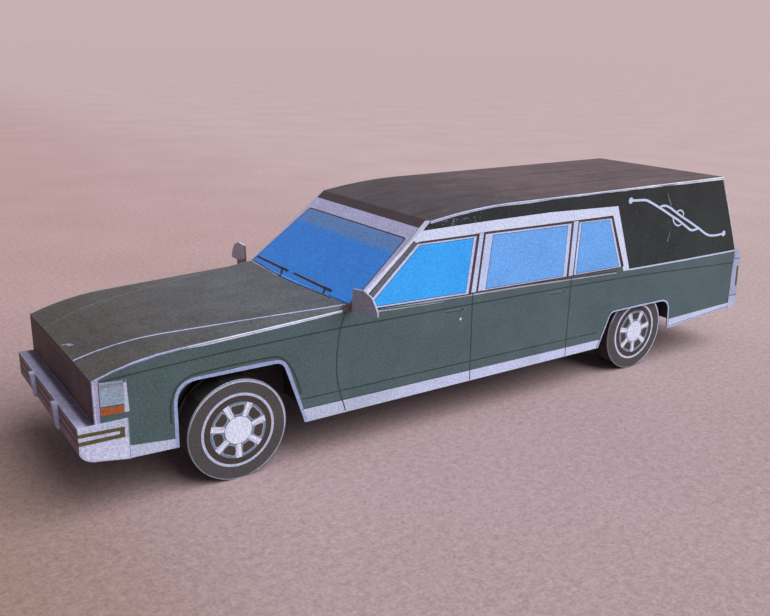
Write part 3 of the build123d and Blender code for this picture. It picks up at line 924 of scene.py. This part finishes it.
def print_bumpers():
    """The front bumper's face and top, and the rear bumper's face. Seams part each into three lengths."""
    face = Print("front_bumper_print", upright(BUMPER_FRONT))
    # The face and its strips are darker copies of the bumper's print: painted shade
    face.area(box(-32.4, 19.3, 32.4, 26.3), "bumper_face", 1)
    for high, low in ((24.85, 23.7), (22.8, 21.6)):
        face.area(box(-32.4, low, 32.4, high), "dim_olive", 2)
    face.area(box(-32.4, 22.8, 32.4, 23.7), "dim_bar", 2)
    top = Print("front_bumper_top_print", level(BUMPER_TOP, 1))
    # Its dark band next to the front panel is painted shade
    top.area(box(132.6, -31.9, 136.7, 31.9), "bumper_top", 1)
    back = Print("rear_bumper_print", upright(REAR_BUMPER_FACE, -1))
    back.area(box(-31.8, 17.8, 31.8, 19.6), "olive", 1)
    back.line([(-31.8, 18.7), (31.8, 18.7)], 0.4, "trim", 2)
    for seam in (-17.0, 17.0):
        face.line([(seam, 19.4), (seam, 26.3)], 0.2, "chrome", 2)
        top.line([(132.6, seam), (136.7, seam)], 0.25, "chrome", 2)
        back.line([(seam, 15.9), (seam, 21.2)], 0.2, "chrome", 3)
    for art in (face, top, back):
        art.finish("bumper_card")


print_underside()
for side_name, side in SIDES:
    print_bumper_wing(side_name, side)
print_bumpers()


# ---------------------------------------- pieces that Geometry Nodes grow

class Grower(Nodes):
    """A tree with named inputs that grows a mesh from a source object."""

    def __init__(self, name, inputs):
        super().__init__(bpy.data.node_groups.new(name, "GeometryNodeTree"))
        face = self.tree.interface
        sockets = {"Geometry": "Geometry", "Material": "Material", **inputs}
        self.keys = {}
        for label, kind in sockets.items():
            socket = face.new_socket(label, in_out="INPUT", socket_type=f"NodeSocket{kind}")
            self.keys[label] = socket.identifier
        face.new_socket("Geometry", in_out="OUTPUT", socket_type="NodeSocketGeometry")
        self.given = {label: self.node("NodeGroupInput", output=label) for label in sockets}

    def finish(self, geometry):
        real = self.node("GeometryNodeRealizeInstances", None, {0: geometry})
        inked = self.node("GeometryNodeSetMaterial", None, {0: real, 2: self.given["Material"]})
        self.node("NodeGroupOutput", None, {0: inked})

    def grow(self, source, ink, values):
        """An object with the plain mesh that the tree makes of the source, in one ink."""
        name = source.name
        bpy.context.scene.collection.objects.link(source)
        modifier = source.modifiers.new(name, "NODES")
        modifier.node_group = self.tree
        for label, value in {"Material": inks[ink], **values}.items():
            modifier[self.keys[label]] = value
        evaluated = source.evaluated_get(bpy.context.evaluated_depsgraph_get())
        data = bpy.data.meshes.new_from_object(evaluated)
        source.modifiers.clear()
        bpy.data.objects.remove(source)
        data.name = name
        return bpy.data.objects.new(name, data)


def worn_fold_tree():
    """An uneven bead of bare card that follows a fold."""
    made = Grower("worn_fold", {"Thickness": "Float", "Unevenness": "Float", "Grain": "Float"})
    path = {"Curve": made.given["Geometry"], "Length": 0.8 * MM}
    dense = made.node("GeometryNodeResampleCurve", {"mode": "LENGTH"}, path)
    place = made.node("GeometryNodeInputPosition")
    grain = {"Vector": place, "Scale": made.given["Grain"], "Detail": 3.0}
    bumps = made.node("ShaderNodeTexNoise", None, grain)
    thickness = ((bumps - 0.5) * made.given["Unevenness"] + 1.0) * made.given["Thickness"]
    ring = made.node("GeometryNodeCurvePrimitiveCircle", {"mode": "RADIUS"}, {"Resolution": 6, "Radius": 1.0})
    scale = made.math("MAXIMUM", thickness, 0.04 * MM)
    bead = {"Curve": dense, "Profile Curve": ring, "Scale": scale, "Fill Caps": True}
    made.finish(made.node("GeometryNodeCurveToMesh", None, bead))
    return made


def around_tree():
    """Copies of a small piece at even steps round a wheel's axle."""
    made = Grower("round_the_axle", {"Count": "Int", "First Turn": "Float", "Axle": "Vector"})
    count = made.given["Count"]
    points = made.node("GeometryNodePoints", None, {"Count": count, "Position": made.given["Axle"]})
    step = made.math("DIVIDE", math.tau, count)
    turn = made.node("GeometryNodeInputIndex") * step + made.given["First Turn"]
    angle = made.node("ShaderNodeCombineXYZ", None, {"Y": turn})
    copies = {"Points": points, "Instance": made.given["Geometry"], "Rotation": angle}
    made.finish(made.node("GeometryNodeInstanceOnPoints", None, copies))
    return made


worn_fold = worn_fold_tree()
around = around_tree()


def fold_line(name, path, thickness, ink, uneven=0.9, grain=160.0, body="root"):
    """A worn fold along a path that is given as points in millimetres."""
    curve = bpy.data.curves.new(name, "CURVE")
    curve.dimensions = "3D"
    spline = curve.splines.new("POLY")
    spline.points.add(len(path) - 1)
    for point, place in zip(spline.points, path):
        point.co = (*(Vector(place) * MM), 1.0)
    values = {"Thickness": thickness * MM, "Unevenness": uneven, "Grain": grain}
    made = worn_fold.grow(bpy.data.objects.new(name, curve), ink, values)
    wear(made, [ink], body)


def side_edges(name, side):
    """The cut edges of a side sheet, which stand a little proud of its print."""
    y = side * (HALF_WIDTH + 0.02)
    roof = [(x, y, z - 0.24) for x, z in roof_edge()]
    bonnet = [(x - 0.1, y, z - (0.24 if side == 1 else 0.5)) for x, z in BONNET_EDGE]
    tail = [(ROOF_REAR[0] + 0.1, y, ROOF_REAR[1] - 0.3), (TAIL_X + 0.2, y, TAIL_FOLD[1]), (-133.1, y, 16.5)]
    nose = [(NOSE_X - 0.22, y, 37.7), (NOSE_X - 0.22, y, 26.6)]
    fold_line(f"{name}_roof_edge", roof, 0.19, "edge", 0.6)
    fold_line(f"{name}_bonnet_edge", bonnet, 0.19, "bonnet_edge", 0.6, 90.0)
    fold_line(f"{name}_tail_edge", tail, 0.17, "edge", 0.8)
    fold_line(f"{name}_nose_edge", nose, 0.16, "nose", 0.4)


def bonnet_crease(name, side, width, ink):
    """One of the two creases, which run together from the windscreen to the nose."""
    front, rear, y_at_nose, y_at_screen, steps = 132.3, 58.0, 15.6, 30.8, 39
    crease = []
    for n in range(steps + 1):
        x = front + (rear - front) * n / steps
        share = (NOSE_X - x) / (NOSE_X - SCREEN_BASE[0])
        y = side * (y_at_nose + (y_at_screen - y_at_nose) * share)
        crease.append(tuple(bonnet_top.at(x, y, -0.1) / MM))
    fold_line(f"{name}_bonnet_crease", crease, width, ink, 0.7, 60.0)


def cross_folds():
    """The folds across the car, where two sheets meet or one is bent."""
    folds = (
        ("roof_front_fold", 28.7, 68.40, 0.14, "roof_card", "header", 0.9),
        ("roof_rear_fold", -117.2, 72.64, 0.14, "roof_card", "edge", 1.2),
        ("tail_middle_fold", -132.36, 41.5, 0.15, "tail_card", "edge", 1.2),
    )
    for name, x, z, width, slot, ink, uneven in folds:
        fold_line(name, [(x, -31.4, z), (x, 31.4, z)], width, ink, uneven)
    nose = [(132.36, -31.4, 37.82), (132.36, -15.6, 38.0), (132.36, 15.6, 38.0), (132.36, 31.4, 37.82)]
    fold_line("bonnet_nose_fold", nose, 0.14, "bonnet", 0.6)


for side_name, side in SIDES:
    side_edges(side_name, side)
# The near crease is pale, with a painted highlight; the far crease is darker, which is painted shade
bonnet_crease("left", 1, 0.26, "crease")
bonnet_crease("right", -1, 0.15, "far_crease")
cross_folds()


# ---------------------------------------- wheels

SPOKES = 7
SPOKE_FOOT, SPOKE_TIP = 0.25 * WHEEL_RADIUS, 0.562 * WHEEL_RADIUS

# The corners of a hole in the rim: the share of the wheel's radius, and the turn in degrees
HOLE_CORNERS = ((0.33, -12.0), (0.33, 12.0), (0.425, 16.5), (0.52, 15.5), (0.52, -15.5), (0.425, -16.5))


def hole(grow):
    """The outline of the hole above the axle, grown by a distance."""
    outline = []
    for share, turn in HOLE_CORNERS:
        radius, angle = WHEEL_RADIUS * share, math.radians(turn)
        outline.append((radius * math.sin(angle), radius * math.cos(angle)))
    return soften(inset(outline, -grow), 0.6, 3)


def draw_hole_rim(art):
    art.area(hole(0.3), "lens", 4)


def draw_hole(art):
    art.area(hole(0.0), "rim_dark", 5)


def draw_spoke(art):
    art.area([(-0.7, SPOKE_FOOT), (0.7, SPOKE_FOOT), (0.95, SPOKE_TIP), (-0.95, SPOKE_TIP)], "bright", 5)


def draw_spoke_lines(art):
    art.line([(-0.38, SPOKE_FOOT + 0.8), (-0.46, SPOKE_TIP - 0.2)], 0.14, "chrome", 6)
    art.line([(0.7, SPOKE_FOOT + 0.4), (0.95, SPOKE_TIP)], 0.2, "chrome", 6)


def wheel_rings(name, sheet, axle, side):
    """The round print: the pale edge where the card shows, and the discs from the tyre in to the hub."""
    art = Print(name, sheet)

    # The wheel is cut outside its printed tyre, by more at some places than at others
    widths, steps = [], 96
    for n in range(steps):
        turn = math.tau * n / steps
        swing = noise.noise((math.cos(turn) * 1.3, math.sin(turn) * 1.3, axle[0] * 0.1 + side))
        lean = math.cos(turn - math.radians(125 if side == 1 else 55))
        widths.append(max(0.06, 0.42 + 0.3 * lean + 0.35 * swing))
    cut = circle(axle, WHEEL_RADIUS - 0.05, steps)
    art.line(cut + cut[:1], widths + widths[:1], "trim", 1, edge=1)
    art.area(circle(axle, 0.69 * WHEEL_RADIUS, 64), "rim_dark", 1)
    art.line(circle(axle, 0.712 * WHEEL_RADIUS, 64), 0.78, "trim", 2, closed=True)
    discs = ((0.565, 64, "rim", 3), (0.285, 32, "chrome", 7), (0.272, 32, "bright", 8), (0.195, 32, "hub", 9))
    for radius, corners, ink, layer in discs:
        art.area(circle(axle, radius * WHEEL_RADIUS, corners), ink, layer)
    return art


def print_wheel(end, side_name, side):
    axle, face = (AXLE_X[end], WHEEL_RADIUS), WHEEL_FACE[end]
    wheel, body, slot = f"{end}_{side_name}_wheel", f"{end}_wheelset", "wheel_face_card"
    sheet = card_side(side, face - HALF_WIDTH)
    wheel_rings(f"{wheel}_rings", sheet, axle, side).finish(slot, body)

    # The holes lie half a step away from the spokes, of which the first points down
    between_spokes = math.pi / SPOKES
    parts = (
        ("hole_rims", draw_hole_rim, between_spokes),
        ("holes", draw_hole, between_spokes),
        ("spokes", draw_spoke, 0.0),
        ("spoke_lines", draw_spoke_lines, 0.0),
    )
    for part, draw, shift in parts:
        small = Print(f"{wheel}_{part}", sheet)
        draw(small)
        values = {"Count": SPOKES, "First Turn": math.pi + shift, "Axle": (axle[0] * MM, 0.0, axle[1] * MM)}
        wear(around.grow(small.plain(), small.slots[0], values), small.slots, body)
    rim = [(x, side * (face - 0.05), z) for x, z in circle(axle, WHEEL_RADIUS - 0.16, 96)]
    fold_line(f"{wheel}_cut_edge", rim + rim[:1], 0.13, "scratch", 0.5, 70.0, body)


for end in ("front", "rear"):
    for side_name, side in SIDES:
        print_wheel(end, side_name, side)


# ---------------------------------------- finishes of the card parts

# How a part's name ends, and the ink or the material that it takes
FINISHES = (
    ("_side", "side"), ("bonnet", "bonnet"), ("front_panel", "front"), ("windscreen", "frame"),
    ("roof", "roof"), ("rear_panel", "tail"), ("_floor", "underside"), ("_wheel_well", "black"),
    ("_bumper", "bumper"), ("_bumper_guard", "bumper"), ("_fin", "fin"), ("_mirror", "mirror"),
    ("_sleeve", "sleeve"), ("_axle", "skewer"), ("_tread", "tread"), ("_wheel_face", "tyre"),
    ("_wheel_back", "black"),
)

for ending, finish in FINISHES:
    for node in nodes:
        if node.endswith(ending):
            nodes[node].data.materials.clear()
            nodes[node].data.materials.append(inks[finish])

# A mirror's foot, where it meets the side, is darker than its back
for side_name, side in SIDES:
    mirror = nodes[f"{side_name}_mirror"].data
    mirror.materials.append(inks["mirror_foot"])
    for face in mirror.polygons:
        if abs(face.center.y) < (HALF_WIDTH + 0.7) * MM:
            face.material_index = 1


# ---------------------------------------- floor, light and camera

def stage_floor():
    recipe = Recipe("pale_floor")
    x, y = recipe.along("X"), recipe.along("Y")
    cloud = recipe.noise(14, 2.0)
    weave = recipe.noise(420, 3.0, (1, 1, 1), 0.75)
    fine = recipe.noise(1100, 2.0)
    # Painted light and shade: a darker, browner painted shadow about the car's front, and a paler floor
    # towards the rear, where the light comes from
    painted_shadow = recipe.between(x, 0.09, 0.16) * recipe.between(x, 0.6, 0.2)
    painted_shadow = painted_shadow * recipe.between(y, -0.25, 0.0) * recipe.between(y, 0.7, 0.25)
    front = recipe.mix(painted_shadow, srgb(175, 153, 158), srgb(157, 132, 125))
    near = recipe.mix(recipe.between(x, 0.0, -0.25), front, srgb(185, 165, 166))
    distant = recipe.mix(recipe.between(x, 0.12, -0.40), srgb(182, 154, 154), srgb(194, 172, 174))
    pale = recipe.mix(recipe.between(y, 0.02, -0.22), near, distant)
    texture = 0.5 + (weave - 0.5) * 1.9 + (fine - 0.5) * 1.5 + (cloud - 0.5) * 0.5
    paper = recipe.mix(texture, srgb(214, 211, 209), srgb(255, 255, 255))
    material = recipe.surface(recipe.mix(1.0, pale, paper, "MULTIPLY"), 0.9, weave, 0.00006, specular=0.1)
    mesh = bmesh.new()
    mesh.faces.new([mesh.verts.new((*corner, 0.0)) for corner in box(-30, -30, 30, 30)])
    floor = as_object("floor", mesh)
    floor.data.materials.append(material)
    bpy.context.scene.collection.objects.link(floor)


def window_light():
    """Broad soft light from behind the camera's right shoulder."""
    data = bpy.data.lights.new("window_light", "SUN")
    data.energy, data.angle = 4.3, math.radians(70)
    lamp = bpy.data.objects.new("window_light", data)
    lamp.location = (-0.45, 0.52, 0.72)
    lamp.rotation_euler = (-lamp.location).to_track_quat("-Z", "Y").to_euler()
    bpy.context.scene.collection.objects.link(lamp)


def pale_world():
    """A soft pale glow, and a pale wall that only the camera and the surfaces' reflections see."""
    world = bpy.data.worlds.new("pale_room")
    bpy.context.scene.world = world
    world.use_nodes = True
    room = Nodes(world.node_tree)
    wall = room.node("ShaderNodeBackground", None, {"Color": srgb(200, 176, 178)})
    glow = room.node("ShaderNodeBackground", None, {"Color": srgb(236, 232, 240), "Strength": 0.30})
    seen = room.node("ShaderNodeLightPath", output="Is Camera Ray")
    for ray in ("Is Glossy Ray", "Is Transmission Ray"):
        seen = room.math("MAXIMUM", seen, room.node("ShaderNodeLightPath", output=ray))
    both = room.node("ShaderNodeMixShader", None, {0: seen, 1: glow, 2: wall})
    room.node("ShaderNodeOutputWorld", None, {"Surface": both})


def camera():
    """The camera stands off the front left corner, a little above the roof, and is turned a little."""
    place = Vector((182.7134, 230.1379, 117.8980)) * MM
    target = Vector((22.48997, 0.0, 31.44927)) * MM
    roll = 0.0245849
    ahead = (target - place).normalized()
    right = ahead.cross(Vector((0, 0, 1))).normalized()
    up = right.cross(ahead)
    across_frame = math.cos(roll) * right + math.sin(roll) * up
    up_frame = math.cos(roll) * up - math.sin(roll) * right
    data = bpy.data.cameras.new("camera")
    data.sensor_fit, data.sensor_width, data.lens = "HORIZONTAL", 36.0, 39.2023
    data.clip_start = 0.005
    made = bpy.data.objects.new("camera", data)
    turn = Matrix((across_frame, up_frame, -ahead)).transposed().to_4x4()
    made.matrix_world = Matrix.Translation(place) @ turn
    bpy.context.scene.collection.objects.link(made)
    bpy.context.scene.camera = made


stage_floor()
window_light()
pale_world()
camera()
bpy.context.scene.view_settings.view_transform = "Standard"
